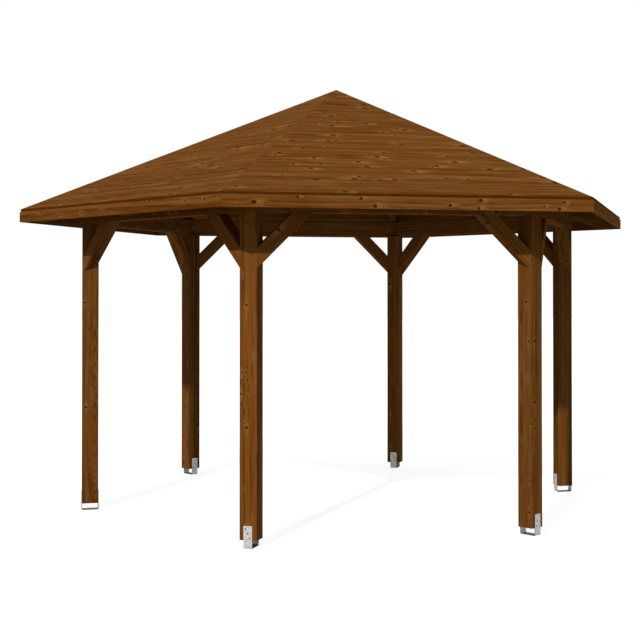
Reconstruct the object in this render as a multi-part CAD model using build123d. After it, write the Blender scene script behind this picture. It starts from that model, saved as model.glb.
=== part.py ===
from build123d import *
import os
from math import cos, radians, sin, tan

# Six-sided open garden gazebo in millimetres.
# The origin is the middle of the hexagon on the ground, +Z is up, and +X points at a corner.
# A corner piece is made at the +X corner and a side piece across +X, then each is turned to its place.

corner_names = ["right", "back_right", "back_left", "left", "front_left", "front_right"]
side_names = ["back_right", "back", "back_left", "front_left", "front", "front_right"]

# Posts
post_circle_radius = 1936.0
post_width = 120.0
post_gap = 53.0
headroom = 2180.0
post_arris = 5.0

# Ring beam, lying on the posts and mitred over each of them
beam_width = 95.0
beam_height = 135.0
beam_arris = 5.0

# Braces, flush with the ring beam
brace_depth = 95.0
brace_reach = 393.0
brace_angle = 45.0
brace_arris = 5.0

# Rafters
rafter_width = 60.0
rafter_depth = 140.0
rafter_arris = 4.0
notch_depth = 31.0
tail_margin = 6.0
boss_drop = 30.0
boss_chamfer = 10.0
# A face looks down where its normal has a Z below this
downward_limit = -0.5

# Roof
roof_pitch = 25.0
roof_corner_radius = 2465.0
deck_thickness = 19.0
deck_setback = 3.5
fascia_thickness = 19.0
fascia_height = 79.0
fascia_clearance = 0.5

# Post shoes, each a flat strap bent to a U
strap_thickness = 4.0
strap_width = 60.0
strap_bend = 6.0
shoe_height = 147.0
screw_hole_count = 3
screw_hole_diameter = 11.0
screw_hole_pitch = 30.0
screw_hole_offset = 14.0
screw_hole_top_margin = 20.0
anchor_hole_diameter = 12.0

# Worked-out angles and levels
corner_step = 360.0 / len(corner_names)
half_step = corner_step / 2.0
half_post = post_width / 2.0
apothem_ratio = cos(radians(half_step))
corner_ratio = tan(radians(half_step))
pitch_tan = tan(radians(roof_pitch))
pitch_cos = cos(radians(roof_pitch))
pitch_sin = sin(radians(roof_pitch))
hip_tan = pitch_tan * apothem_ratio
hip_cos = 1.0 / (1.0 + hip_tan**2) ** 0.5

# The beam runs through the middle of the post's slanting side faces, and the braces are below it
beam_apothem = post_circle_radius * apothem_ratio + half_post * sin(radians(half_step))
beam_inner = beam_apothem - beam_width / 2.0
beam_outer = beam_apothem + beam_width / 2.0
beam_top = headroom + beam_height

# The roof's height follows from the notch that seats a middle rafter on the beam's outer edge
under_deck_apex = beam_top - notch_depth + rafter_depth / pitch_cos + pitch_tan * beam_outer
deck_apex = under_deck_apex + deck_thickness / pitch_cos
fascia_outer = roof_corner_radius * apothem_ratio
fascia_inner = fascia_outer - fascia_thickness
deck_edge = fascia_outer - deck_setback
deck_edge_top = deck_apex - pitch_tan * deck_edge
deck_edge_inner = deck_edge - deck_thickness * pitch_sin
deck_edge_bottom = deck_edge_top - deck_thickness * pitch_cos
fascia_top = deck_edge_bottom - fascia_clearance
fascia_bottom = fascia_top - fascia_height
tail_soffit = fascia_bottom + tail_margin

# The boss has a face as wide as a rafter for each hip rafter
boss_corner_radius = rafter_width / 2.0 / sin(radians(half_step))
boss_apothem = boss_corner_radius * apothem_ratio
boss_bottom = under_deck_apex - hip_tan * boss_apothem - rafter_depth / hip_cos - boss_drop


def at_corner(piece, index):
    """Turn a piece made at the +X corner to corner number index, counted from +X."""
    return Rot(0, 0, corner_step * index) * piece


def at_side(piece, index):
    """Turn a piece made across +X to side number index, which follows corner number index."""
    return Rot(0, 0, half_step + corner_step * index) * piece


def mitred_bar(inner, outer, bottom, top):
    """Straight bar across +X between two apothems, with its ends on the planes of the two corners."""
    inner_half = inner * corner_ratio
    outer_half = outer * corner_ratio
    plan = Polyline(
        (inner, -inner_half),
        (outer, -outer_half),
        (outer, outer_half),
        (inner, inner_half),
        close=True,
    )
    return extrude(Pos(0, 0, bottom) * make_face(plan), amount=top - bottom)


def extrude_across(side_view, width):
    """Give a side view drawn in X and Z a width along Y, half on each side."""
    return extrude(Plane.XZ.offset(-width / 2.0) * side_view, amount=width)


def soften_along(piece, direction, arris):
    """Chamfer the edges that run along one of the axes X, Y or Z."""
    return chamfer(piece.edges().filter_by(direction), arris)


def make_post():
    """Square post at the +X corner, with one face square to the radius."""
    height = headroom - post_gap
    blank = Box(post_width, post_width, height, align=(Align.CENTER, Align.CENTER, Align.MIN))
    return Pos(post_circle_radius, 0, post_gap) * soften_along(blank, Axis.Z, post_arris)


def make_ring_beam():
    """Beam across +X from corner to corner, with its long edges softened."""
    bar = mitred_bar(beam_inner, beam_outer, headroom, beam_top)
    return soften_along(bar, Axis.Y, beam_arris)


def make_brace():
    """Brace at the +Y end of the side across +X, cut flat under the beam and to the post's slanting face."""
    half_side = post_circle_radius * sin(radians(half_step))
    length = 2.0 * brace_reach / cos(radians(brace_angle))
    blank = Box(beam_width, brace_depth, length, align=(Align.CENTER, Align.MIN, Align.CENTER))
    blank = soften_along(blank, Axis.Z, brace_arris)
    beam_meeting = Pos(beam_apothem, half_side - brace_reach, headroom)
    leaning = beam_meeting * Rot(90.0 - brace_angle, 0, 0) * blank
    under_beam = Pos(beam_apothem, half_side, headroom) * Box(
        2.0 * post_width,
        2.0 * length,
        headroom - post_gap,
        align=(Align.CENTER, Align.CENTER, Align.MAX),
    )
    post_axis = Rot(0, 0, half_step) * Pos(post_circle_radius, 0, 0)
    beyond_post_face = post_axis * Pos(0, -half_post, headroom) * Box(
        4.0 * post_width,
        2.0 * length,
        2.0 * headroom,
        align=(Align.CENTER, Align.MIN, Align.CENTER),
    )
    return leaning & under_beam - beyond_post_face


def make_brace_pair():
    """The two braces of the post at the +X corner, one below each beam that meets there."""
    towards_left = Rot(0, 0, -half_step) * make_brace()
    towards_right = mirror(towards_left, about=Plane.XZ)
    return towards_left, towards_right


def make_rafter_blank(start, end, slope, plumb_depth):
    """Plain rafter along +X between two plumb ends: a sloping bar with a level tail."""
    tail_start = (under_deck_apex - plumb_depth - tail_soffit) / slope
    side_view = Polyline(
        (start, under_deck_apex - slope * start),
        (start, under_deck_apex - slope * start - plumb_depth),
        (tail_start, tail_soffit),
        (end, tail_soffit),
        (end, under_deck_apex - slope * end),
        close=True,
    )
    bar = extrude_across(make_face(side_view), rafter_width)
    downward_faces = bar.faces().filter_by(lambda face: face.normal_at().Z < downward_limit)
    underside = downward_faces.sort_by(SortBy.AREA)[-1]
    long_edges = underside.edges().sort_by(SortBy.LENGTH)[-2:]
    return chamfer(long_edges, rafter_arris)


def under_deck_space():
    """Pyramid that the undersides of the roof boards enclose, ending at the inner faces of the fascias."""
    corner_radius = fascia_inner / apothem_ratio
    base = Pos(0, 0, tail_soffit) * RegularPolygon(corner_radius, len(corner_names))
    walls = extrude(base, amount=under_deck_apex - pitch_tan * fascia_inner - tail_soffit)
    roof_base = walls.faces().sort_by(Axis.Z)[-1]
    roof = loft([roof_base, Vertex(0, 0, under_deck_apex)])
    return walls + roof


def make_hip_rafter(space, beam):
    """Hip rafter at the +X corner, its top bevelled to two slopes, notched over the mitred beams."""
    fascia_corner = fascia_inner / apothem_ratio
    blank = make_rafter_blank(boss_apothem, fascia_corner, hip_tan, rafter_depth / hip_cos)
    bevelled = blank & space
    beam_left = Rot(0, 0, half_step) * beam
    beam_right = Rot(0, 0, -half_step) * beam
    return bevelled - beam_left - beam_right


def make_mid_rafter(beam):
    """Rafter at the middle of the side across +X, its head cut to a point between two hip rafters."""
    blank = make_rafter_blank(boss_corner_radius, fascia_inner, pitch_tan, rafter_depth / pitch_cos)
    hip_slab = Box(
        roof_corner_radius,
        rafter_width,
        2.0 * deck_apex,
        align=(Align.MIN, Align.CENTER, Align.MIN),
    )
    between_hips = blank - Rot(0, 0, half_step) * hip_slab - Rot(0, 0, -half_step) * hip_slab
    return between_hips - beam


def make_roof_boss(space):
    """Six-sided block at the peak that the hip rafters are fixed to."""
    plan = Rot(0, 0, half_step) * RegularPolygon(boss_corner_radius, len(corner_names))
    block = extrude(Pos(0, 0, boss_bottom) * plan, amount=deck_apex - boss_bottom)
    bottom_edges = block.faces().sort_by(Axis.Z)[0].edges()
    block = chamfer(bottom_edges, boss_chamfer)
    return block & space


def make_roof_panel():
    """Boarded roof face across +X, its two sides mitred on the hips and its eave cut square."""
    section = Polyline(
        (0.0, deck_apex),
        (deck_edge, deck_edge_top),
        (deck_edge_inner, deck_edge_bottom),
        (0.0, under_deck_apex),
        close=True,
    )
    slab = extrude_across(make_face(section), 2.0 * roof_corner_radius)
    reach = 2.0 * deck_edge
    wedge_plan = Polyline((0, 0), (reach, -reach * corner_ratio), (reach, reach * corner_ratio), close=True)
    wedge = extrude(make_face(wedge_plan), amount=2.0 * deck_apex)
    return slab & wedge


def make_fascia():
    """Fascia board across +X, nailed to the rafter tails just below the edge of the roof boards."""
    return mitred_bar(fascia_inner, fascia_outer, fascia_bottom, fascia_top)


def make_post_shoe(turned):
    """Strap bent to a U under the post at the +X corner, with slanting rows of screw holes."""
    outer = Pos(0, shoe_height / 2.0) * Rectangle(post_width + 2.0 * strap_thickness, shoe_height)
    outer = fillet(outer.vertices().sort_by(Axis.Y)[:2], strap_bend + strap_thickness)
    cavity_height = shoe_height - strap_thickness
    cavity = Pos(0, strap_thickness + cavity_height / 2.0) * Rectangle(post_width, cavity_height)
    cavity = fillet(cavity.vertices().sort_by(Axis.Y)[:2], strap_bend)
    strap = extrude_across(outer - cavity, strap_width)
    anchor_hole = Cylinder(anchor_hole_diameter / 2.0, 4.0 * strap_thickness)
    strap = strap - anchor_hole
    middle_row = (screw_hole_count - 1) / 2.0
    for row in range(screw_hole_count):
        height = shoe_height - screw_hole_top_margin - row * screw_hole_pitch
        offset = (row - middle_row) * screw_hole_offset
        hole = Rot(0, 90, 0) * Cylinder(screw_hole_diameter / 2.0, 2.0 * post_width)
        strap = strap - Pos(0, offset, height) * hole
    half_turn = 180.0 if turned else 0.0
    return Pos(post_circle_radius, 0, 0) * Rot(0, 0, half_turn) * strap


def save(name, *pieces):
    """Write the solids of one node to its STEP file."""
    solids = [solid for piece in pieces for solid in piece.solids()]
    node = solids[0] if len(solids) == 1 else Compound(children=solids)
    export_step(node, f"parts/{name}.step")


def main():
    """Make every piece once and write it at each of its places."""
    os.makedirs("parts", exist_ok=True)
    post = make_post()
    beam = make_ring_beam()
    brace_left, brace_right = make_brace_pair()
    space = under_deck_space()
    hip_rafter = make_hip_rafter(space, beam)
    mid_rafter = make_mid_rafter(beam)
    panel = make_roof_panel()
    fascia = make_fascia()

    for index, name in enumerate(corner_names):
        save(f"post_{name}", at_corner(post, index))
        save(f"post_shoe_{name}", at_corner(make_post_shoe(index % 2 == 1), index))
        save(f"braces_{name}", at_corner(brace_left, index), at_corner(brace_right, index))
        save(f"hip_rafter_{name}", at_corner(hip_rafter, index))

    for index, name in enumerate(side_names):
        save(f"ring_beam_{name}", at_side(beam, index))
        save(f"roof_panel_{name}", at_side(panel, index))
        save(f"fascia_{name}", at_side(fascia, index))

    save("mid_rafters", *[at_side(mid_rafter, index) for index in range(len(side_names))])
    save("roof_boss", make_roof_boss(space))


main()
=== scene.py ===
import logging
import math
from dataclasses import dataclass, field
from enum import Enum
from typing import Callable, Optional, Union

import bmesh
import bpy
import numpy as np
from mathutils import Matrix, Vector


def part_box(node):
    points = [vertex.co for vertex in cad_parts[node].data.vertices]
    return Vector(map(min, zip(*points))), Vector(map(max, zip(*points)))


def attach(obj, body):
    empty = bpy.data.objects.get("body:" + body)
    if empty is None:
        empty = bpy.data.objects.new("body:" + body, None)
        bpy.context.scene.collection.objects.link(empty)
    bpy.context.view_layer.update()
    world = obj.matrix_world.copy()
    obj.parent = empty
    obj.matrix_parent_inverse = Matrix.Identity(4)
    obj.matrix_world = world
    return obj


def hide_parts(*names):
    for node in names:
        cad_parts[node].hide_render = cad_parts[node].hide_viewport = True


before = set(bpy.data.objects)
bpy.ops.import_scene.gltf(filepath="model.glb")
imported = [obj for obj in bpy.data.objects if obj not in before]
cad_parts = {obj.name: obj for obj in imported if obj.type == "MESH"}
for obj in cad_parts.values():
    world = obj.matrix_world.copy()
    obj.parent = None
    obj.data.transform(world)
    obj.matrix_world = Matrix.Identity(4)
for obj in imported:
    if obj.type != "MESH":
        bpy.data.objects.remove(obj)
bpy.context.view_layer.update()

BODY = "root"
MM = 0.001
WELD = 0.01 * MM
QUARTER_TURN = 90.0

CORNERS = ("right", "back_right", "back_left", "left", "front_left", "front_right")
SIDES = ("back_right", "back", "back_left", "front_left", "front", "front_right")
SECTOR = math.tau / len(CORNERS)
HALF_SECTOR = SECTOR / 2.0

# The distance of a knot that isn't there, and how far apart two pieces' marked knots are kept.
FAR = 1000.0
OWNER_STEP = 10.0

# Numbers of the Mix node's sockets: the factor, the two colours, and the colour that comes out.
FACTOR, FIRST_COLOUR, SECOND_COLOUR, MIXED_COLOUR = 0, 6, 7, 2

Socket = bpy.types.NodeSocket
Colour = tuple[float, float, float]
Profile = list[tuple[float, float]]
WHITE: Colour = (1.0, 1.0, 1.0)
log = logging.getLogger("gazebo")


class Scalar:
    """A number that varies over a surface: a socket whose operators make Math nodes."""

    def __init__(self, sheet: "NodeSheet", socket: Socket) -> None:
        """Keep the sheet that the socket's node is on, and the socket."""
        self.sheet = sheet
        self.socket = socket

    def __add__(self, other: "Number") -> "Scalar":
        """Sum."""
        return self.sheet.math("ADD", self, other)

    def __sub__(self, other: "Number") -> "Scalar":
        """Difference."""
        return self.sheet.math("SUBTRACT", self, other)

    def __rsub__(self, other: float) -> "Scalar":
        """Difference, with the plain number first."""
        return self.sheet.math("SUBTRACT", other, self)

    def __mul__(self, other: "Number") -> "Scalar":
        """Product."""
        return self.sheet.math("MULTIPLY", self, other)

    def __truediv__(self, other: "Number") -> "Scalar":
        """Quotient."""
        return self.sheet.math("DIVIDE", self, other)

    def __rtruediv__(self, other: float) -> "Scalar":
        """Quotient, with the plain number first."""
        return self.sheet.math("DIVIDE", other, self)

    def __neg__(self) -> "Scalar":
        """The number with its sign changed."""
        return self.sheet.math("MULTIPLY", self, -1.0)

    def __abs__(self) -> "Scalar":
        """The number without its sign."""
        return self.sheet.math("ABSOLUTE", self)

    __radd__ = __add__
    __rmul__ = __mul__


Number = Union[Scalar, float, int]


class NodeSheet:
    """The node tree of one material or world, with short ways to write its nodes."""

    def __init__(self, owner: Union[bpy.types.Material, bpy.types.World]) -> None:
        """Empty the owner's node tree.

        Args:
            owner: A new material or world.
        """
        self.owner = owner
        owner.use_nodes = True
        self.tree = owner.node_tree
        self.tree.nodes.clear()

    @classmethod
    def material(cls, name: str) -> "NodeSheet":
        """The empty sheet of a new material of that name."""
        return cls(bpy.data.materials.new(name))

    def node(
        self, kind: str, settings: Optional[dict] = None, inputs: Optional[dict] = None
    ) -> bpy.types.Node:
        """Add one node.

        Args:
            kind: The node's type.
            settings: Its properties, which are set before its sockets are filled.
            inputs: The value or the link of each socket, by the socket's name or number.

        Returns:
            The node.
        """
        made = self.tree.nodes.new(kind)
        for key, value in (settings or {}).items():
            setattr(made, key, value)
        for key, value in (inputs or {}).items():
            socket = made.inputs[key]
            source = value.socket if isinstance(value, Scalar) else value
            if isinstance(source, Socket):
                self.tree.links.new(source, socket)
            else:
                socket.default_value = source
        return made

    def math(self, operation: str, *operands: Number) -> Scalar:
        """Apply one Math operation.

        Args:
            operation: The Math node's operation.
            operands: Its one, two or three numbers.

        Returns:
            The result.
        """
        made = self.node("ShaderNodeMath", {"operation": operation}, dict(enumerate(operands)))
        return Scalar(self, made.outputs[0])

    def vector(self, x: Number, y: Number, z: Number) -> Socket:
        """Join three numbers into a vector."""
        return self.node("ShaderNodeCombineXYZ", inputs={"X": x, "Y": y, "Z": z}).outputs[0]

    def split(self, socket: Socket) -> tuple[Scalar, Scalar, Scalar]:
        """Take a vector apart into its three numbers."""
        made = self.node("ShaderNodeSeparateXYZ", inputs={"Vector": socket})
        return tuple(Scalar(self, output) for output in made.outputs)

    def object_point(self) -> tuple[Scalar, Scalar, Scalar]:
        """The point's place in the frame that all pieces share, in metres."""
        return self.split(self.node("ShaderNodeTexCoord").outputs["Object"])

    def attribute(self, name: str) -> bpy.types.Node:
        """An attribute that the mesh carries."""
        return self.node("ShaderNodeAttribute", {"attribute_name": name})

    def noise(self, where: Socket, detail: float = 2.0, roughness: float = 0.5) -> Scalar:
        """Smooth noise, mostly from 0.3 to 0.7, with one wave to each unit of where.

        Args:
            where: The point, already stretched to the size of the pattern.
            detail: How many finer waves are added.
            roughness: How strong the finer waves are.

        Returns:
            The noise.
        """
        inputs = {"Vector": where, "Scale": 1.0, "Detail": detail, "Roughness": roughness}
        made = self.node("ShaderNodeTexNoise", {"noise_dimensions": "3D"}, inputs)
        return Scalar(self, made.outputs[0])

    def cells(self, where: Socket, dimensions: str = "3D") -> bpy.types.Node:
        """Random cells, one to each unit of where."""
        settings = {"voronoi_dimensions": dimensions}
        return self.node("ShaderNodeTexVoronoi", settings, {"Vector": where, "Scale": 1.0})

    def chance(self, seed: Number) -> tuple[Scalar, Scalar, Scalar]:
        """Three even random numbers from 0 to 1 for each value of seed."""
        made = self.node("ShaderNodeTexWhiteNoise", {"noise_dimensions": "1D"}, {"W": seed})
        return self.split(made.outputs["Color"])

    def step(self, value: Number, low: Number, high: Number) -> Scalar:
        """Rise smoothly from 0 to 1.

        Args:
            value: The number that it follows.
            low: Where it leaves 0.
            high: Where it reaches 1.

        Returns:
            The smooth step.
        """
        inputs = {"Value": value, "From Min": low, "From Max": high}
        made = self.node("ShaderNodeMapRange", {"interpolation_type": "SMOOTHSTEP"}, inputs)
        return Scalar(self, made.outputs[0])

    def mix(self, factor: Number, first: object, second: object) -> Socket:
        """Mix two colours.

        Args:
            factor: How much of the second colour there is, from 0 to 1.
            first: A colour, or a socket that gives one.
            second: A colour, or a socket that gives one.

        Returns:
            The socket of the mixed colour.
        """
        first, second = (opaque(c) if isinstance(c, tuple) else c for c in (first, second))
        settings = {"data_type": "RGBA", "clamp_factor": True}
        inputs = {FACTOR: factor, FIRST_COLOUR: first, SECOND_COLOUR: second}
        return self.node("ShaderNodeMix", settings, inputs).outputs[MIXED_COLOUR]

    def vector_math(self, operation: str, first: object, second: object) -> Socket:
        """Join two vectors, each a socket or three plain numbers, with one operation."""
        settings = {"operation": operation}
        return self.node("ShaderNodeVectorMath", settings, {0: first, 1: second}).outputs[0]

    def scaled(self, vector: Socket, by: Number) -> Socket:
        """Multiply a vector or a colour by a number, which leaves a colour's hue alone."""
        made = self.node("ShaderNodeVectorMath", {"operation": "SCALE"}, {0: vector, "Scale": by})
        return made.outputs[0]

    def length(self, vector: Socket) -> Scalar:
        """The length of a vector."""
        made = self.node("ShaderNodeVectorMath", {"operation": "LENGTH"}, {0: vector})
        return Scalar(self, made.outputs["Value"])

    def by_view(self, hidden: bpy.types.Node, shown: bpy.types.Node) -> Socket:
        """Join a shader for rays that light others and one for rays that show a surface."""
        inputs = {0: self.seen_rays(), 1: hidden.outputs[0], 2: shown.outputs[0]}
        return self.node("ShaderNodeMixShader", inputs=inputs).outputs[0]

    def seen_rays(self) -> Scalar:
        """Tell the rays that show a surface, directly or in metal or glass, from those that light.

        Returns:
            1 for the rays that show a surface, and 0 for the others.
        """
        path = self.node("ShaderNodeLightPath").outputs
        camera = Scalar(self, path["Is Camera Ray"])
        glossy = Scalar(self, path["Is Glossy Ray"])
        through = Scalar(self, path["Is Transmission Ray"])
        return self.math("MINIMUM", camera + glossy + through, 1.0)

    def finish(
        self, colour: Socket, roughness: Number, metallic: Number, gloss: float, height: Scalar,
        depth: float,
    ) -> None:
        """Close the sheet with the surface shader.

        Args:
            colour: The socket of the base colour.
            roughness: The roughness.
            metallic: 0 for wood and 1 for bare metal.
            gloss: The level of the reflection at the surface, where 0.5 is a clear varnish.
            height: The relief, from 0 to 1.
            depth: How deep the relief is, in metres.
        """
        relief = {"Strength": 1.0, "Distance": depth, "Height": height}
        bump = self.node("ShaderNodeBump", inputs=relief)
        inputs = {
            "Base Color": colour,
            "Roughness": roughness,
            "Metallic": metallic,
            "Specular IOR Level": gloss,
            "Normal": bump.outputs[0],
        }
        surface = self.node("ShaderNodeBsdfPrincipled", inputs=inputs)
        self.node("ShaderNodeOutputMaterial", inputs={"Surface": surface.outputs[0]})


def opaque(colour: Colour) -> tuple[float, float, float, float]:
    """The colour with the alpha that a colour socket asks for."""
    return (*colour, 1.0)


@dataclass(frozen=True)
class Grain:
    """Where a point lies in its own piece of timber, in metres, and what sets the piece apart."""

    along: Scalar
    across: Scalar
    depth: Scalar
    seed: Number
    sector: Number
    tone: Number = 1.0


@dataclass(frozen=True)
class Timber:
    """Places and slopes that the directions of the grain follow, in metres and radians."""

    post_radius: float = 1.936
    post_width: float = 0.120
    post_layers: float = 3.0
    layer: float = 0.040
    beam_apothem: float = 1.7066
    beam_level: float = 2.2475
    pitch: float = math.radians(25.0)
    brace_angle: float = math.radians(45.0)


TIMBER = Timber()


def folded(sheet: NodeSheet, centred_on_corners: bool) -> tuple[Scalar, Scalar, Scalar, Scalar]:
    """Turn every sixth of the gazebo onto the one across +X.

    The sector is the point's angle in sixths of a turn, rounded to the nearest corner or side. The
    point is turned back by that many sixths.

    Args:
        sheet: The material's node sheet.
        centred_on_corners: True for pieces at the corners, and False for pieces between them.

    Returns:
        The distances outwards, sideways and upwards, and the number of the sector.
    """
    x, y, z = sheet.object_point()
    start = HALF_SECTOR if centred_on_corners else 0.0
    turn = sheet.math("ARCTAN2", y, x)
    sector = sheet.math("FLOOR", (turn + (start + math.tau)) / SECTOR)
    sector = sheet.math("FLOORED_MODULO", sector, float(len(CORNERS)))
    back = sector * SECTOR + (HALF_SECTOR - start)
    cosine = sheet.math("COSINE", back)
    sine = sheet.math("SINE", back)
    return x * cosine + y * sine, y * cosine - x * sine, z, sector


def post_grain(sheet: NodeSheet) -> Grain:
    """Grain that runs up a post, which is glued up from three layers side by side.

    The layer is the distance across the post over a layer's thickness, rounded down.

    Args:
        sheet: The material's node sheet.

    Returns:
        The point's place in the post.
    """
    outward, sideways, upward, sector = folded(sheet, True)
    layer = sheet.math("FLOOR", (sideways + TIMBER.post_width / 2.0) / TIMBER.layer)
    seed = sector * TIMBER.post_layers + layer
    return Grain(upward, sideways, outward - TIMBER.post_radius, seed, sector)


def side_grain(sheet: NodeSheet) -> Grain:
    """Grain that runs along a beam or a fascia board, from corner to corner.

    Args:
        sheet: The material's node sheet.

    Returns:
        The point's place in the beam or the board.
    """
    outward, sideways, upward, sector = folded(sheet, False)
    across = upward - TIMBER.beam_level
    return Grain(sideways, across, outward - TIMBER.beam_apothem, sector, sector)


def slope_grain(sheet: NodeSheet, centred_on_corners: bool, pitch: float) -> Grain:
    """Grain that runs down a rafter.

    The distances outwards and upwards are turned by the rafter's slope.

    Args:
        sheet: The material's node sheet.
        centred_on_corners: True for a hip rafter, and False for a middle rafter.
        pitch: The rafter's slope, in radians.

    Returns:
        The point's place in the rafter.
    """
    outward, sideways, upward, sector = folded(sheet, centred_on_corners)
    along = outward * math.cos(pitch) - upward * math.sin(pitch)
    across = outward * math.sin(pitch) + upward * math.cos(pitch)
    return Grain(along, across, sideways, sector, sector)


def hip_grain(sheet: NodeSheet) -> Grain:
    """Grain that runs down a hip rafter."""
    return slope_grain(sheet, True, math.atan(math.tan(TIMBER.pitch) * math.cos(HALF_SECTOR)))


def mid_rafter_grain(sheet: NodeSheet) -> Grain:
    """Grain that runs down a middle rafter."""
    return slope_grain(sheet, False, TIMBER.pitch)


def brace_grain(sheet: NodeSheet) -> Grain:
    """Grain that runs along a brace. The two braces of a post mirror each other.

    The point is turned onto the side that the brace lies in, and there by the brace's slope.

    Args:
        sheet: The material's node sheet.

    Returns:
        The point's place in the brace.
    """
    outward, sideways, upward, sector = folded(sheet, True)
    side = sheet.math("GREATER_THAN", sideways, 0.0)
    sideways = abs(sideways)
    away = sideways * math.cos(HALF_SECTOR) - outward * math.sin(HALF_SECTOR)
    depth = outward * math.cos(HALF_SECTOR) + sideways * math.sin(HALF_SECTOR) - TIMBER.beam_apothem
    rise = math.sin(TIMBER.brace_angle)
    run = math.cos(TIMBER.brace_angle)
    along = away * run + upward * rise
    across = upward * run - away * rise
    return Grain(along, across, depth, sector + side * len(CORNERS), sector)


def board_grain(sheet: NodeSheet) -> Grain:
    """Grain along a roof board, which carries its own place, number and tone as attributes.

    Args:
        sheet: The material's node sheet.

    Returns:
        The point's place in the board.
    """
    along, across, depth = sheet.split(sheet.attribute("grain").outputs["Vector"])
    board = sheet.math("ROUND", Scalar(sheet, sheet.attribute("board").outputs["Fac"]))
    tone = Scalar(sheet, sheet.attribute("tone").outputs["Fac"])
    return Grain(along, across, depth, board, board, tone)


def boss_grain(sheet: NodeSheet) -> Grain:
    """Grain that runs up the boss under the peak."""
    x, y, z = sheet.object_point()
    return Grain(z, x, y, 0.0, 0.0)


@dataclass(frozen=True)
class MarkedKnot:
    """A large knot with a place of its own, in metres.

    The owner is the number of the corner, side or roof board that holds it.
    """

    owner: int
    along: float
    across: float
    radius: float
    depth: float = 0.0


@dataclass(frozen=True)
class Shifts:
    """How far the patterns of two pieces may lie apart, each in its own pattern's unit."""

    seed: float = 1.37
    along: float = 31.0
    knots: float = 17.0
    bands: float = 9.0
    blotches: float = 7.0
    wander: float = 5.0
    streaks: float = 3.0
    crystals: float = 5.0


SHIFTS = Shifts()


@dataclass(frozen=True)
class Spot:
    """A point of a piece, its shifted distance along the grain and the piece's random numbers."""

    sheet: NodeSheet
    place: Grain
    along: Scalar
    first: Scalar
    second: Scalar
    third: Scalar


@dataclass(frozen=True)
class Knots:
    """How the knots are spread and how large they are, in metres.

    Each cell of the spread holds one knot or none. Knots that go through a board look the same at
    any depth. In its two zones, counted in radii from its middle, a knot's core and rim fade out.
    """

    along: float
    across: float
    depth: float
    smallest: float
    largest: float
    share: float
    through: bool
    stretch: float = 1.25
    flame: float = 5.0
    bend: float = 1.6
    lean: tuple[float, float, float] = (3.0, 1.0, 0.0)
    core_zone: tuple[float, float] = (0.62, 1.0)
    rim_zone: tuple[float, float] = (0.95, 1.35)

    def masks(self, spot: Spot, marks: tuple[MarkedKnot, ...]) -> tuple[Scalar, Scalar, Scalar]:
        """Knots round the middles of random cells, and the marked ones.

        Each mask falls with the distance from the nearest knot, counted in the knot's radius.

        Args:
            spot: The point in its piece.
            marks: The marked knots.

        Returns:
            The zone where the rings bend round a knot, the knot, and the knot with its dark rim.
        """
        sheet = spot.sheet
        place = spot.place
        deep = 0.0 if self.through else 1.0
        shift = spot.second * SHIFTS.knots
        size = (self.along / self.stretch, self.across, self.depth * deep)
        across = place.across / self.across + shift
        where = sheet.vector(spot.along / self.along, across, place.depth * deep / self.depth)
        found = sheet.cells(where, "2D" if self.through else "3D")
        random_size, random_share, _ = sheet.split(found.outputs["Color"])
        radius = self.smallest + random_size * random_size * (self.largest - self.smallest)
        offset = sheet.vector_math("SUBTRACT", where, found.outputs["Position"])
        offset = sheet.scaled(sheet.vector_math("MULTIPLY", offset, size), 1.0 / radius)
        lean = sheet.scaled(sheet.vector(*self.lean), sheet.math("FRACT", shift) * 2.0 - 1.0)
        absent = sheet.math("GREATER_THAN", random_share, self.share) * FAR
        distance = sheet.length(offset) + absent
        reach = self.bent_reach(sheet, offset, lean) + absent
        here = sheet.vector(place.along + place.sector * OWNER_STEP, place.across, place.depth)
        for mark in marks:
            centre = (mark.along + mark.owner * OWNER_STEP, mark.across, mark.depth)
            size = (1.0 / (self.stretch * mark.radius), 1.0 / mark.radius, deep / mark.radius)
            offset = sheet.vector_math("SUBTRACT", here, centre)
            offset = sheet.vector_math("MULTIPLY", offset, size)
            distance = sheet.math("MINIMUM", distance, sheet.length(offset))
            reach = sheet.math("MINIMUM", reach, self.bent_reach(sheet, offset, lean))
        core = 1.0 - sheet.step(distance, *self.core_zone)
        rim = 1.0 - sheet.step(distance, *self.rim_zone)
        return sheet.math("EXPONENT", -reach), core, rim

    def bent_reach(self, sheet: NodeSheet, offset: Socket, lean: Socket) -> Scalar:
        """How far out a point lies in the zone where the rings bend round a knot.

        The reach is the sum of the squared parts of the offset and the lean, each divided by how
        far the rings bend that way.

        Args:
            sheet: The material's node sheet.
            offset: The point's offset from the knot, in the knot's own radius and stretch.
            lean: How far the zone lies to one side of the knot, in the same unit.

        Returns:
            The reach, from 0 in the middle.
        """
        offset = sheet.vector_math("ADD", offset, lean)
        bends = (self.stretch / self.flame, 1.0 / self.bend, 1.0 / self.bend)
        wide = sheet.vector_math("MULTIPLY", offset, bends)
        settings = {"operation": "DOT_PRODUCT"}
        squares = sheet.node("ShaderNodeVectorMath", settings, {0: wide, 1: wide})
        return Scalar(sheet, squares.outputs["Value"])


@dataclass(frozen=True)
class Waves:
    """Noise stretched along the grain: how many waves there are to a metre, and how strong."""

    along: float
    across: float
    strength: float
    detail: float = 4.0
    roughness: float = 0.64

    def over(self, spot: Spot, shift: Number = 0.0) -> Scalar:
        """The noise less its middle value, times the strength.

        Args:
            spot: The point in its piece.
            shift: A shift of the pattern across the grain.

        Returns:
            The noise, on both sides of 0.
        """
        across = spot.place.across * self.across + shift
        where = spot.sheet.vector(spot.along * self.along, across, spot.place.depth * self.across)
        return (spot.sheet.noise(where, self.detail, self.roughness) - 0.5) * self.strength


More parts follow.
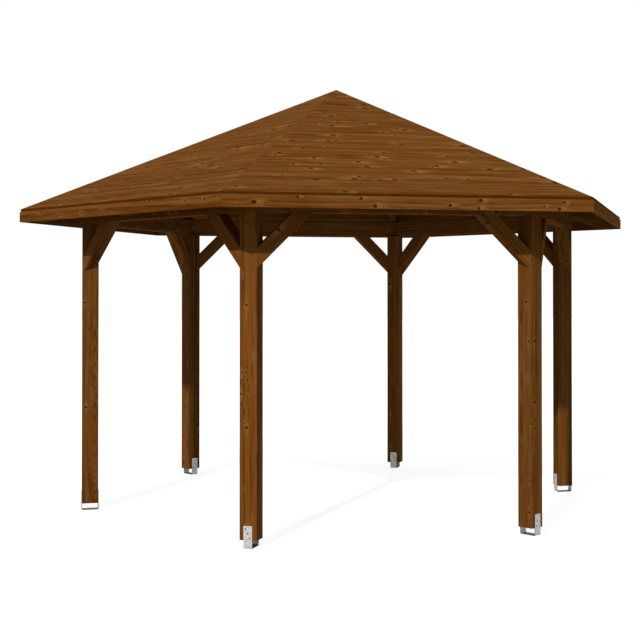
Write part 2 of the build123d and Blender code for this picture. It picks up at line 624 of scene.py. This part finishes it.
@dataclass(frozen=True)
class YearRings:
    """Year rings round a pith that wanders, in metres, with late wood as parts of a ring."""

    contrast: float = 1.7
    spacing: float = 4.2 * MM
    pith_depth: float = 45.0 * MM
    pith_spread: float = 100.0 * MM
    drift: Waves = Waves(0.9, 5.0, 0.020, detail=2.0, roughness=0.5)
    wander: float = 0.11
    wander_along: float = 0.55
    wander_detail: float = 1.0
    band_across: float = 0.16
    band_along: float = 0.15
    band_detail: float = 3.0
    band_roughness: float = 0.6
    late_start: float = 0.30
    late_full: float = 0.86
    late_end: float = 0.92
    late_shade: float = 0.34
    knot_swell: float = 2.2

    def count(self, spot: Spot) -> Scalar:
        """Number of year rings from the pith: the distance from a wandering line, over the spacing.

        Args:
            spot: The point in its piece.

        Returns:
            The number of rings.
        """
        sheet = spot.sheet
        where = sheet.vector(spot.along * self.wander_along, spot.third * SHIFTS.wander, 0.0)
        wander = (sheet.noise(where, self.wander_detail) - 0.5) * self.wander
        sideways = spot.place.across + self.drift.over(spot) + wander
        sideways = sideways - (spot.second - 0.5) * self.pith_spread
        inwards = spot.place.depth + self.pith_depth * (0.5 + spot.third)
        return sheet.math("SQRT", sideways * sideways + inwards * inwards) / self.spacing

    def tones(self, spot: Spot, count: Scalar) -> tuple[Scalar, Scalar]:
        """Late wood, which comes on slowly in each ring and ends at once, and bands of rings.

        Args:
            spot: The point in its piece.
            count: The number of rings from the pith.

        Returns:
            1 in the late wood and 0 outside it, and the tone of the bands on both sides of 0.
        """
        sheet = spot.sheet
        phase = sheet.math("FRACT", count)
        late = sheet.step(phase, self.late_start, self.late_full)
        late = late * (1.0 - sheet.step(phase, self.late_end, 1.0))
        shift = spot.first * SHIFTS.bands
        where = sheet.vector(count * self.band_across, shift, spot.along * self.band_along)
        return late, sheet.noise(where, self.band_detail, self.band_roughness) - 0.5


@dataclass(frozen=True)
class StainedWood:
    """Planed spruce under a translucent walnut stain.

    Lengths are in metres. A cover is how much of a mark's colour shows, and that of the halo has a
    least value and a spread. The parts of the relief are fractions of its depth.
    """

    name: str
    slot: str
    grain: Callable[[NodeSheet], Grain]
    knots: Knots
    streaks: tuple[Waves, ...]
    seed: float
    marks: tuple[MarkedKnot, ...] = ()
    rings: YearRings = YearRings()
    fibre: Waves = Waves(9.0, 620.0, 0.5, detail=1.0, roughness=0.5)
    light: Colour = (0.262, 0.114, 0.027)
    dark: Colour = (0.102, 0.028, 0.0018)
    red: Colour = (0.190, 0.060, 0.0105)
    knot: Colour = (0.046, 0.0034, 0.0005)
    halo: Colour = (0.305, 0.135, 0.036)
    lightness: float = 0.535
    tone_spread: float = 0.07
    # Factors on the colour by sector: partly the wood's own tone, partly painted light for pieces
    # in shade.
    sector_tones_and_painted_light: tuple[float, ...] = ()
    blotch_along: float = 2.2
    blotch_across: float = 9.0
    blotch_zone: tuple[float, float] = (0.42, 0.68)
    blotch_cover: float = 0.5
    halo_cover: tuple[float, float] = (0.3, 0.6)
    rim_cover: float = 0.5
    core_cover: float = 0.94
    depth: float = 0.35 * MM
    even_relief: float = 0.62
    late_relief: float = 0.30
    core_relief: float = 0.35
    roughness: float = 0.85
    band_roughness: float = 0.3
    core_smoothness: float = 0.1
    gloss: float = 0.005
    board_width: float = 0.0
    # Darkening towards a board's edges: partly pooled stain, partly painted shade of the joints.
    edge_dark_width: float = 7.0 * MM
    edge_dark_cover: float = 0.75

    def paint(self) -> bpy.types.Material:
        """Make the material.

        The lightness is the finish's own, plus bands, fibre and streaks, less the late wood. It
        mixes the dark stain with the light one, and blotches, halos and knots lie over that.

        Returns:
            The material, whose pattern follows the grain of each piece.
        """
        sheet = NodeSheet.material(self.name)
        place = self.grain(sheet)
        chances = sheet.chance(place.seed * SHIFTS.seed + self.seed)
        spot = Spot(sheet, place, place.along + chances[0] * SHIFTS.along, *chances)
        swell, core, rim = self.knots.masks(spot, self.marks)
        count = self.rings.count(spot) + swell * self.rings.knot_swell
        late, band = self.rings.tones(spot, count)
        fibre = self.fibre.over(spot)

        lightness = self.lightness + band * self.rings.contrast + fibre
        lightness = lightness - late * self.rings.late_shade
        for number, streaks in enumerate(self.streaks):
            lightness = lightness + streaks.over(spot, spot.third + number * SHIFTS.streaks)
        across = place.across * self.blotch_across
        where = sheet.vector(spot.along * self.blotch_along, across, spot.third * SHIFTS.blotches)
        blotch = sheet.step(sheet.noise(where), *self.blotch_zone)
        least, spread = self.halo_cover
        halo = swell * (least + spot.second * spread) * (1.0 - rim)

        colour = sheet.mix(lightness, self.dark, self.light)
        colour = sheet.mix(blotch * self.blotch_cover, colour, self.red)
        colour = sheet.mix(halo, colour, self.halo)
        colour = sheet.mix(rim * self.rim_cover, colour, self.dark)
        colour = sheet.mix(core * self.core_cover, colour, self.knot)
        # Boards darken towards their edges: pooled stain and painted joint shade.
        if self.board_width:
            colour = sheet.mix(self.pooled_stain_and_joint_shade(spot), colour, self.dark)
        # Each piece's tone, with painted light lifting pieces that stand in shade.
        colour = sheet.scaled(colour, self.tone_and_painted_light(spot))

        height = self.even_relief - late * self.late_relief + fibre - core * self.core_relief
        roughness = self.roughness + band * self.band_roughness - core * self.core_smoothness
        sheet.finish(colour, roughness, 0.0, self.gloss, height, self.depth)
        return sheet.owner

    def pooled_stain_and_joint_shade(self, spot: Spot) -> Scalar:
        """How much a board darkens towards its edges: partly stain pooled there, partly painted
        shade of the joint.
        """
        inset = spot.sheet.math("MINIMUM", spot.place.across, self.board_width - spot.place.across)
        return (1.0 - spot.sheet.step(inset, 0.0, self.edge_dark_width)) * self.edge_dark_cover

    def tone_and_painted_light(self, spot: Spot) -> Scalar:
        """How light each piece is: a random part, and its sector's own factor if there is one,
        which is partly the wood's tone and partly painted light that lifts pieces standing in
        shade.

        Args:
            spot: The point in its piece.

        Returns:
            The factor on the colour.
        """
        tone = (spot.third - 0.5) * (2.0 * self.tone_spread) + spot.place.tone
        for number, lift in enumerate(self.sector_tones_and_painted_light):
            here = spot.sheet.math("COMPARE", spot.place.sector, float(number), 0.5)
            tone = tone + here * (lift - 1.0)
        return tone


@dataclass(frozen=True)
class GalvanisedSteel:
    """Hot-dip galvanised sheet, softly mottled, with sheared edges painted dark partly as painted
    shade, and painted shade on the base under the post.

    Lengths are in metres, and the waves of the clouds are counted to a metre.
    """

    name: str
    slot: str
    strap_half_width: float
    strap_thickness: float
    zinc: Colour = (0.62, 0.60, 0.56)
    dull: Colour = (0.36, 0.355, 0.34)
    # The strap's narrow sides are painted dark, partly for the sheared cut and partly as painted
    # shade.
    sheared_and_shaded: Colour = (0.050, 0.052, 0.054)
    # The colour of the painted shade on the base plate under the post's end.
    painted_base_shade: Colour = (0.075, 0.075, 0.076)
    shine: float = 0.48
    least_shine: float = 0.1
    gloss: float = 0.3
    crystal: float = 9.0 * MM
    crystal_dulling: float = 0.35
    cloud_waves: float = 38.0
    cloud_detail: float = 3.0
    cloud_roughness: float = 0.6
    cloud_zone: tuple[float, float] = (0.35, 0.72)
    cloud_dulling: float = 0.6
    even_roughness: float = 0.40
    roughness_by_crystal: float = 0.14
    roughness_by_cloud: float = 0.10
    depth: float = 0.12 * MM
    crystal_relief: float = 0.5
    edge_zone: float = 0.3 * MM
    # Height and strength of the painted shade on the base, mottled by the clouds.
    shade_height: float = 4.0 * MM
    shade_cover: float = 0.65
    shade_by_cloud: float = 0.7

    def paint(self) -> bpy.types.Material:
        """Make the material.

        Returns:
            The material, with zinc crystals as random cells, darker on the sheared edges partly as
            painted shade, and with painted shade on the base between the two upright legs.
        """
        sheet = NodeSheet.material(self.name)
        outward, sideways, upward, sector = folded(sheet, True)
        shifted = sideways / self.crystal + sector * SHIFTS.crystals
        where = sheet.vector(outward / self.crystal, shifted, upward / self.crystal)
        facet, _, _ = sheet.split(sheet.cells(where).outputs["Color"])
        where = sheet.scaled(sheet.vector(outward, sideways, upward), self.cloud_waves)
        cloud = sheet.noise(where, self.cloud_detail, self.cloud_roughness)
        dullness = sheet.step(cloud, *self.cloud_zone) * self.cloud_dulling
        colour = sheet.mix(dullness + facet * self.crystal_dulling, self.zinc, self.dull)
        # Painted shade: the base plate between the two upright legs, under the post, is darkened
        # and shines less.
        top = self.strap_thickness + self.shade_height
        low = 1.0 - sheet.step(upward, self.strap_thickness, top)
        off_middle = abs(outward - TIMBER.post_radius)
        between = sheet.math("LESS_THAN", off_middle, TIMBER.post_width / 2.0)
        shaded_base = low * between * (self.shade_cover + cloud * self.shade_by_cloud)
        colour = sheet.mix(shaded_base, colour, self.painted_base_shade)
        # Dark colour on the narrow sides: partly the sheared edge, partly painted shade.
        edge = sheet.math("GREATER_THAN", abs(sideways), self.strap_half_width - self.edge_zone)
        colour = sheet.mix(edge, colour, self.sheared_and_shaded)
        plain_zinc = 1.0 - sheet.math("MAXIMUM", edge, shaded_base)
        shine = sheet.math("MAXIMUM", plain_zinc, self.least_shine) * self.shine
        roughness = self.even_roughness + facet * self.roughness_by_crystal
        roughness = roughness + cloud * self.roughness_by_cloud
        height = facet * self.crystal_relief + cloud
        sheet.finish(colour, roughness, shine, self.gloss, height, self.depth)
        return sheet.owner


def placed(data: bpy.types.ID) -> bpy.types.Object:
    """Put a mesh, a lamp or a camera in the scene.

    Args:
        data: The mesh, lamp or camera.

    Returns:
        The new object, under the same name.
    """
    made = bpy.data.objects.new(data.name, data)
    bpy.context.scene.collection.objects.link(made)
    return made


def dress(piece: bpy.types.Object, material: bpy.types.Material) -> None:
    """Give every material slot of a piece the same material, making one slot where it has none.

    Args:
        piece: The mesh object.
        material: The finish.
    """
    if not piece.material_slots:
        piece.data.materials.append(material)
    for slot in piece.material_slots:
        slot.material = material


class Course(Enum):
    """Where a roof board lies on the slope, which decides what its edges are like."""

    EAVE = "eave"
    MIDDLE = "middle"
    PEAK = "peak"


@dataclass(frozen=True)
class BoardSection:
    """Section of a tongue and groove board, in metres.

    Each corner of the section is a pair: its distance down the slope from the board's upper edge,
    and its height above the roof's outer face, which is 0 or less.
    """

    cover: float
    thickness: float
    face_arris: float = 1.8 * MM
    back_arris: float = 3.0 * MM
    tongue_reach: float = 6.0 * MM
    tongue_half: float = 2.6 * MM
    tongue_bevel: float = 0.8 * MM
    tongue_depth: float = 9.5 * MM
    fit: float = 0.3 * MM

    def upper_edge(self, course: Course, joint: float, peak: Profile) -> Profile:
        """Corners of the upper edge, from the back to the face.

        Args:
            course: Where the board lies.
            joint: The width of the joint above the board.
            peak: The corners of the edge of a board that reaches the peak.

        Returns:
            The corners of the tongue, or of the edge at the peak.
        """
        if course is Course.PEAK:
            return peak
        top = joint / 2.0
        tip = top - joint - self.tongue_reach
        low = -self.tongue_half - self.tongue_depth
        high = self.tongue_half - self.tongue_depth
        return [
            (top + self.back_arris, -self.thickness),
            (top, self.back_arris - self.thickness),
            (top, low),
            (tip + self.tongue_bevel, low),
            (tip, low + self.tongue_bevel),
            (tip, high - self.tongue_bevel),
            (tip + self.tongue_bevel, high),
            (top, high),
            (top, -self.face_arris),
            (top + self.face_arris, 0.0),
        ]

    def lower_edge(self, course: Course, joint: float) -> Profile:
        """Corners of the lower edge, from the face to the back.

        Args:
            course: Where the board lies.
            joint: The width of the joint below the board.

        Returns:
            The corners of the groove, or of the plain edge at the eave.
        """
        deep = -self.thickness
        if course is Course.EAVE:
            low, arris = self.cover, self.fit
            return [(low - arris, 0.0), (low, -arris), (low, deep + arris), (low - arris, deep)]
        low = self.cover - joint / 2.0
        floor = low - self.tongue_reach - self.fit
        mouth = self.tongue_half + self.fit
        return [
            (low - self.face_arris, 0.0),
            (low, -self.face_arris),
            (low, mouth - self.tongue_depth),
            (floor, mouth - self.tongue_depth),
            (floor, -mouth - self.tongue_depth),
            (low, -mouth - self.tongue_depth),
            (low, deep + self.back_arris),
            (low - self.back_arris, deep),
        ]


@dataclass
class BoardedRoof:
    """The six roof faces, each of level tongue and groove boards that are mitred at the hips.

    Courses and joints are counted down from the peak, and are alike on all six faces.
    """

    courses: int = 19
    pitch: float = TIMBER.pitch
    thickness: float = 19.0 * MM
    hip_gap: float = 0.3 * MM
    joint: float = 1.2 * MM
    wide_joint: float = 2.2 * MM
    wide_joints: tuple[int, ...] = (5, 10, 14)
    pale_courses: tuple[int, ...] = (5, 10, 13)
    pale_tone: float = 1.08
    tone_spread: float = 0.035
    unevenness: float = 0.35 * MM
    seed: int = 11
    apex: float = field(init=False)
    slope_length: float = field(init=False)
    cover: float = field(init=False)

    def __post_init__(self) -> None:
        """Read the roof's height and reach from the frame."""
        _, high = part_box("roof_panel_back")
        self.apex = high.z
        self.slope_length = high.y / math.cos(self.pitch)
        self.cover = self.slope_length / self.courses

    def joint_width(self, number: int) -> float:
        """Width of a joint, counted down from the peak."""
        return self.wide_joint if number in self.wide_joints else self.joint

    def course_kind(self, course: int) -> Course:
        """Say where a course lies on the slope.

        Args:
            course: The number of the course.

        Returns:
            The kind of its edges.
        """
        if course == 0:
            return Course.PEAK
        return Course.EAVE if course == self.courses - 1 else Course.MIDDLE

    def peak_edge(self) -> Profile:
        """Corners of the peak board's upper edge, upright where the hips' mitres meet.

        The distance down the slope is the one outwards, less the height times the pitch's sine,
        over the pitch's cosine.

        Returns:
            The corners at the board's back and at its face.
        """
        outward = self.hip_gap / math.tan(HALF_SECTOR)
        heights = (-self.thickness, 0.0)
        return [((outward - h * math.sin(self.pitch)) / math.cos(self.pitch), h) for h in heights]

    def place(self, slope: np.ndarray, height: np.ndarray, end: float, side: int) -> np.ndarray:
        """Points on the mitre plane of a hip.

        The distance outwards is the one down the slope times the pitch's cosine, plus the height
        above the face times its sine. The distance sideways is that times the tangent of half a
        sector, less the gap at the hip.

        Args:
            slope: Distances down the slope from the peak.
            height: Heights above the roof's outer face.
            end: -1.0 or 1.0 for the two ends of a board.
            side: The number of the roof face.

        Returns:
            One row a point: x, y and z, and the distance along the board.
        """
        outward = slope * math.cos(self.pitch) + height * math.sin(self.pitch)
        sideways = end * np.maximum(outward * math.tan(HALF_SECTOR) - self.hip_gap, 0.0)
        upward = self.apex - slope * math.sin(self.pitch) + height * math.cos(self.pitch)
        turn = HALF_SECTOR + SECTOR * side
        x = outward * math.cos(turn) - sideways * math.sin(turn)
        y = outward * math.sin(turn) + sideways * math.cos(turn)
        return np.stack([x, y, upward, sideways], axis=1)

    def board(
        self, course: int, side: int, lift: float
    ) -> tuple[np.ndarray, np.ndarray, list[list[int]]]:
        """One board as a prism between two hips: its section's outline on both mitre planes.

        Args:
            course: The number of the course.
            side: The number of the roof face.
            lift: How far the board stands off the roof's face.

        Returns:
            The corners, their places in the board's own grain, and the faces.
        """
        section = BoardSection(self.cover, self.thickness)
        kind = self.course_kind(course)
        upper = section.upper_edge(kind, self.joint_width(course), self.peak_edge())
        lower = section.lower_edge(kind, self.joint_width(course + 1))
        outline = np.array(upper + lower)
        slope = outline[:, 0] + course * self.cover
        height = outline[:, 1] + (0.0 if kind is Course.PEAK else lift)
        ends = np.concatenate([self.place(slope, height, end, side) for end in (-1.0, 1.0)])
        grain = np.stack([ends[:, 3], np.tile(outline[:, 0], 2), np.tile(outline[:, 1], 2)], axis=1)
        count = len(outline)
        this = np.arange(count)
        after = np.roll(this, -1)
        sides = np.stack([this, this + count, after + count, after], axis=1)
        faces = [list(reversed(range(count))), list(range(count, 2 * count)), *sides.tolist()]
        return ends[:, :3], grain, faces

    def face(self, side: int) -> bpy.types.Object:
        """All boards of one roof face, as one piece.

        Args:
            side: The number of the roof face.

        Returns:
            The mesh object, linked to the scene.
        """
        random = np.random.default_rng(self.seed + side)
        lifts = -random.random(self.courses) * self.unevenness
        uneven = np.random.default_rng(self.seed).random(self.courses) - 0.5
        tones = 1.0 + uneven * 2.0 * self.tone_spread
        tones[list(self.pale_courses)] = self.pale_tone
        points, grains, numbers, faces = [], [], [], []
        start = 0
        for course in range(self.courses):
            corners, grain, polygons = self.board(course, side, float(lifts[course]))
            points.append(corners)
            grains.append(grain)
            numbers.append(np.full(len(corners), course))
            faces += [[start + index for index in polygon] for polygon in polygons]
            start += len(corners)
        mesh = bpy.data.meshes.new(f"roof_boards_{SIDES[side]}")
        mesh.from_pydata(np.concatenate(points).tolist(), [], faces)
        course_of = np.concatenate(numbers)
        add_attribute(mesh, "grain", "FLOAT_VECTOR", np.concatenate(grains))
        add_attribute(mesh, "board", "FLOAT", course_of + side * self.courses)
        add_attribute(mesh, "tone", "FLOAT", tones[course_of])
        close_peak(mesh)
        return placed(mesh)

    def build(self) -> None:
        """Board all six faces in place of the plain panels."""
        finish = roof_finish(self.cover, self.courses)
        material = finish.paint()
        for side, name in enumerate(SIDES):
            piece = self.face(side)
            dress(piece, material)
            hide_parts(f"roof_panel_{name}")
            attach(piece, BODY)
            log.info("%s: %d boards", piece.name, self.courses)


def add_attribute(mesh: bpy.types.Mesh, name: str, kind: str, values: np.ndarray) -> None:
    """Store a number or a vector at each corner of a mesh.

    Args:
        mesh: The mesh.
        name: The attribute's name.
        kind: FLOAT or FLOAT_VECTOR.
        values: One value a corner.
    """
    layer = mesh.attributes.new(name, kind, "POINT")
    values = values.astype(np.float32).ravel()
    layer.data.foreach_set("vector" if kind == "FLOAT_VECTOR" else "value", values)


def close_peak(mesh: bpy.types.Mesh) -> None:
    """Weld the corners that coincide at the peak, and drop the face of no area between them.

    Args:
        mesh: The boards of one roof face.
    """
    shape = bmesh.new()
    shape.from_mesh(mesh)
    bmesh.ops.remove_doubles(shape, verts=shape.verts, dist=WELD)
    bmesh.ops.dissolve_degenerate(shape, edges=shape.edges, dist=WELD)
    shape.to_mesh(mesh)
    shape.free()
    mesh.update()


class TimberPiece(Enum):
    """The timbers that keep their solids, by what their nodes' names begin with."""

    POST = "post_"
    BEAM = "ring_beam_"
    BRACES = "braces_"
    HIP_RAFTER = "hip_rafter_"
    MID_RAFTERS = "mid_rafters"
    BOSS = "roof_boss"
    FASCIA = "fascia_"


@dataclass
class TimberFrame:
    """Posts, beams, braces, rafters, boss and fascias, dressed where the frame has them."""

    finishes: dict[TimberPiece, StainedWood]

    def build(self) -> None:
        """Dress every timber with the finish of its kind."""
        for kind, finish in self.finishes.items():
            material = finish.paint()
            names = [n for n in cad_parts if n.startswith(kind.value) and "shoe" not in n]
            for name in names:
                dress(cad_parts[name], material)
            log.info("%s: %d nodes in %s", finish.name, len(names), finish.slot)


@dataclass
class PostShoes:
    """The bent steel shoes, with their screw holes open."""

    strap_width: float = 60.0 * MM
    strap_thickness: float = 4.0 * MM

    def build(self) -> None:
        """Dress the six shoes."""
        finish = GalvanisedSteel(
            "galvanised_strap", "galvanised_steel", self.strap_width / 2.0, self.strap_thickness
        )
        material = finish.paint()
        for corner in CORNERS:
            dress(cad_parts[f"post_shoe_{corner}"], material)
        log.info("%s: %d shoes in %s", finish.name, len(CORNERS), finish.slot)


@dataclass
class Studio:
    """Floor, light and camera. Angles are in degrees and lengths in metres."""

    sun_azimuth: float = 236.5
    sun_elevation: float = 31.0
    sun_strength: float = 2.26
    sun_size: float = 1.6
    sun_colour: Colour = (1.07, 0.985, 0.94)
    sky_strength: float = 0.40
    sky_colour: Colour = (0.90, 1.065, 1.14)
    floor_half: float = 60.0
    floor_level: float = -0.5 * MM
    floor_colour: Colour = (0.46, 0.46, 0.46)
    floor_white: Colour = (0.860, 0.846, 0.839)
    camera_place: tuple[float, float, float] = (-2.324, -9.796, 1.675)
    camera_yaw: float = -12.735
    camera_pitch: float = 0.73
    focal_pixels: float = 1258.4
    frame_pixels: float = 640.0
    centre_pixel: tuple[float, float] = (322.9, 273.8)
    sensor: float = 36.0
    view_depth: float = 500.0

    def build(self) -> None:
        """Make the floor, the sky, the sun and the camera."""
        self.make_floor()
        self.make_sky()
        self.make_sun()
        self.make_camera()
        bpy.context.scene.view_settings.view_transform = "Standard"

    def make_floor(self) -> None:
        """A wide level floor that the camera sees as white and that keeps a faint shadow."""
        h = self.floor_half
        z = self.floor_level
        mesh = bpy.data.meshes.new("studio_floor")
        mesh.from_pydata([(-h, -h, z), (h, -h, z), (h, h, z), (-h, h, z)], [], [(0, 1, 2, 3)])
        floor = placed(mesh)
        sheet = NodeSheet.material("pale_floor")
        diffuse = sheet.node("ShaderNodeBsdfDiffuse", inputs={"Color": opaque(self.floor_colour)})
        glowing = {"Color": opaque(self.floor_white), "Strength": 1.0}
        glow = sheet.node("ShaderNodeEmission", inputs=glowing)
        nothing = sheet.node("ShaderNodeEmission", inputs={"Strength": 0.0})
        shaders = {0: diffuse.outputs[0], 1: sheet.by_view(nothing, glow)}
        both = sheet.node("ShaderNodeAddShader", inputs=shaders)
        sheet.node("ShaderNodeOutputMaterial", inputs={"Surface": both.outputs[0]})
        dress(floor, sheet.owner)

    def make_sky(self) -> None:
        """An even sky that lights softly and shows as white."""
        world = bpy.data.worlds.new("studio_sky")
        bpy.context.scene.world = world
        sheet = NodeSheet(world)
        lighting = {"Color": opaque(self.sky_colour), "Strength": self.sky_strength}
        soft = sheet.node("ShaderNodeBackground", inputs=lighting)
        showing = {"Color": opaque(WHITE), "Strength": 1.0}
        white = sheet.node("ShaderNodeBackground", inputs=showing)
        sheet.node("ShaderNodeOutputWorld", inputs={"Surface": sheet.by_view(soft, white)})

    def make_sun(self) -> None:
        """A sun lamp whose rays come from the given azimuth, counted from +X, and elevation."""
        lamp = bpy.data.lights.new("studio_sun", "SUN")
        lamp.energy = self.sun_strength
        lamp.color = self.sun_colour
        lamp.angle = math.radians(self.sun_size)
        lean = math.radians(QUARTER_TURN - self.sun_elevation)
        turn = math.radians(self.sun_azimuth + QUARTER_TURN)
        placed(lamp).rotation_euler = (lean, 0.0, turn)

    def make_camera(self) -> None:
        """The camera at the photograph's place, with its lens and shift from pixel measurements."""
        lens = bpy.data.cameras.new("photo_camera")
        lens.sensor_width = self.sensor
        lens.lens = self.focal_pixels / self.frame_pixels * self.sensor
        lens.shift_x = 0.5 - self.centre_pixel[0] / self.frame_pixels
        lens.shift_y = self.centre_pixel[1] / self.frame_pixels - 0.5
        lens.clip_end = self.view_depth
        camera = placed(lens)
        camera.location = self.camera_place
        tilt = math.radians(QUARTER_TURN + self.camera_pitch)
        camera.rotation_euler = (tilt, 0.0, math.radians(self.camera_yaw))
        bpy.context.scene.camera = camera


def marked(*rows: tuple[float, ...]) -> tuple[MarkedKnot, ...]:
    """Marked knots from rows of MarkedKnot's fields in order, with the radius in millimetres."""
    return tuple(MarkedKnot(*row[:3], row[3] * MM, *row[4:]) for row in rows)


def fascia_knots() -> tuple[MarkedKnot, ...]:
    """The large knots of the front and front left fascias.

    Returns:
        The knots, each in the side that it lies in.
    """
    front = SIDES.index("front")
    left = SIDES.index("front_left")
    return marked(
        (front, -1.029, -0.030, 12.0),
        (front, -0.753, 0.006, 7.0),
        (front, -0.345, 0.002, 8.8),
        (front, -0.255, -0.045, 10.8),
        (front, 0.242, -0.033, 9.2),
        (front, 0.435, -0.049, 8.6),
        (front, 0.448, 0.003, 10.4),
        (front, 0.885, -0.030, 5.6),
        (front, 0.990, -0.045, 10.0),
        (left, 1.067, -0.006, 7.6),
        (left, 0.862, -0.006, 6.6),
        (left, 0.467, 0.014, 7.4),
        (left, -0.089, -0.006, 7.0),
        (left, -0.358, -0.029, 7.8),
        (left, -0.631, -0.034, 6.6),
        (left, -0.918, -0.006, 6.2),
    )


def post_knots() -> tuple[MarkedKnot, ...]:
    """The large knots on the lit faces of the front left, front right and left posts.

    Returns:
        The knots, each in the corner that it lies in.
    """
    front_left = CORNERS.index("front_left")
    front_right = CORNERS.index("front_right")
    left = CORNERS.index("left")
    face = TIMBER.post_width / 2.0
    return marked(
        (front_left, 1.577, -0.011, 8.7, face),
        (front_left, 0.782, -0.011, 10.2, face),
        (front_left, 1.104, 0.012, 5.8, face),
        (front_left, 0.999, -0.048, 8.2, face),
        (front_left, 1.139, -0.042, 7.0, face),
        (front_right, 1.594, -face, 8.8, 0.014),
        (front_right, 1.324, -face, 7.5, 0.036),
        (front_right, 0.764, -face, 7.6, 0.053),
        (front_right, 0.375, -face, 6.6, 0.043),
        (front_right, 0.162, -face, 9.0, 0.041),
        (left, 1.579, face, 8.5, 0.044),
        (left, 0.783, face, 9.9, 0.035),
    )


def roof_knots(courses: int) -> tuple[MarkedKnot, ...]:
    """The large knots of the front and front left roof faces.

    Args:
        courses: The number of boards on a roof face.

    Returns:
        The knots, each in a board that is counted over all faces.
    """
    front = SIDES.index("front") * courses
    left = SIDES.index("front_left") * courses
    return marked(
        (front + 7, -0.240, 0.092, 16.1),
        (front + 8, 0.299, 0.013, 16.3),
        (front + 10, -0.604, 0.088, 15.6),
        (front + 10, -0.342, 0.078, 14.4),
        (front + 10, 0.651, 0.106, 15.5),
        (front + 13, 0.472, 0.099, 16.8),
        (front + 14, -0.225, 0.018, 14.2),
        (front + 14, -0.184, 0.112, 14.4),
        (front + 14, 0.312, 0.067, 15.0),
        (front + 14, 0.682, 0.112, 18.0),
        (front + 14, 0.931, 0.092, 16.3),
        (front + 15, 0.120, 0.054, 13.8),
        (front + 16, -0.330, 0.113, 15.8),
        (front + 16, -0.057, 0.105, 14.3),
        (front + 16, 1.016, 0.010, 16.3),
        (front + 16, 1.062, 0.101, 15.4),
        (front + 17, -0.591, 0.013, 14.9),
        (left + 7, 0.425, 0.089, 22.3),
        (left + 8, 0.284, 0.010, 19.9),
        (left + 11, 0.303, 0.013, 20.3),
        (left + 14, 0.238, 0.010, 19.6),
        (left + 14, 0.417, 0.016, 23.0),
        (left + 14, 0.629, 0.112, 18.4),
    )


def timber_finishes() -> dict[TimberPiece, StainedWood]:
    """The finish of each kind of timber.

    Returns:
        The finishes, with bolder streaks in all but the braces.
    """
    inner = Knots(
        along=0.13, across=0.060, depth=0.060, smallest=7.0 * MM, largest=15.0 * MM,
        share=0.38, through=False, stretch=0.8,
    )
    board = Knots(
        along=0.22, across=0.070, depth=0.060, smallest=5.0 * MM, largest=9.0 * MM,
        share=0.13, through=True, flame=3.5, lean=(2.2, 0.5, 0.0),
    )
    bold = (Waves(1.6, 30.0, 1.1), Waves(5.0, 70.0, 0.9))
    calm = (Waves(1.6, 30.0, 0.7), Waves(5.0, 70.0, 0.6))
    slot = "stained_frame_wood"
    piece = TimberPiece
    return {
        piece.POST: StainedWood(
            "walnut_post", "stained_post_wood", post_grain, inner, bold, seed=3.0,
            marks=post_knots(), tone_spread=0.03,
            # Partly the posts' own tones; the back right post's large lift is painted light, as it
            # stands in shade.
            sector_tones_and_painted_light=(0.87, 1.36, 0.90, 0.99, 1.14, 0.91),
        ),
        piece.BEAM: StainedWood("walnut_beam", slot, side_grain, inner, bold, seed=11.0),
        piece.BRACES: StainedWood(
            "walnut_brace", slot, brace_grain, inner, calm, seed=23.0,
            rings=YearRings(contrast=1.1),
            # Painted light: the braces of the back posts, which face the shaded inside, are
            # lightened.
            sector_tones_and_painted_light=(1.0, 1.28, 1.28, 1.0, 1.04, 1.04),
        ),
        piece.HIP_RAFTER: StainedWood(
            "walnut_hip_rafter", slot, hip_grain, inner, bold, seed=31.0
        ),
        piece.MID_RAFTERS: StainedWood(
            "walnut_mid_rafter", slot, mid_rafter_grain, inner, bold, seed=43.0
        ),
        piece.BOSS: StainedWood("walnut_boss", slot, boss_grain, inner, bold, seed=53.0),
        piece.FASCIA: StainedWood(
            "walnut_fascia", "fascia_wood", side_grain, board, bold, seed=61.0,
            marks=fascia_knots(), halo=(0.285, 0.123, 0.031),
            sector_tones_and_painted_light=(1.0, 1.0, 1.0, 1.1, 1.0, 1.0),
        ),
    }


def roof_finish(board_width: float, courses: int) -> StainedWood:
    """The finish of the roof boards, with streaks broad enough to see from the ground.

    Args:
        board_width: The width that each board covers.
        courses: The number of boards on a roof face.

    Returns:
        The finish.
    """
    knots = Knots(
        along=0.20, across=0.050, depth=0.060, smallest=8.0 * MM, largest=19.0 * MM,
        share=0.15, through=True,
    )
    streaks = (Waves(1.8, 24.0, 1.15), Waves(4.5, 62.0, 1.7))
    return StainedWood(
        "walnut_roof_board", "roof_board_wood", board_grain, knots, streaks, seed=71.0,
        marks=roof_knots(courses), knot=(0.080, 0.016, 0.0003), halo=(0.335, 0.148, 0.039),
        tone_spread=0.01, board_width=board_width,
    )


def main() -> None:
    """Build and dress the gazebo, then set up the studio."""
    logging.basicConfig(level=logging.INFO, format="%(name)s: %(message)s")
    TimberFrame(timber_finishes()).build()
    BoardedRoof().build()
    PostShoes().build()
    Studio().build()


if __name__ == "__main__":
    main()
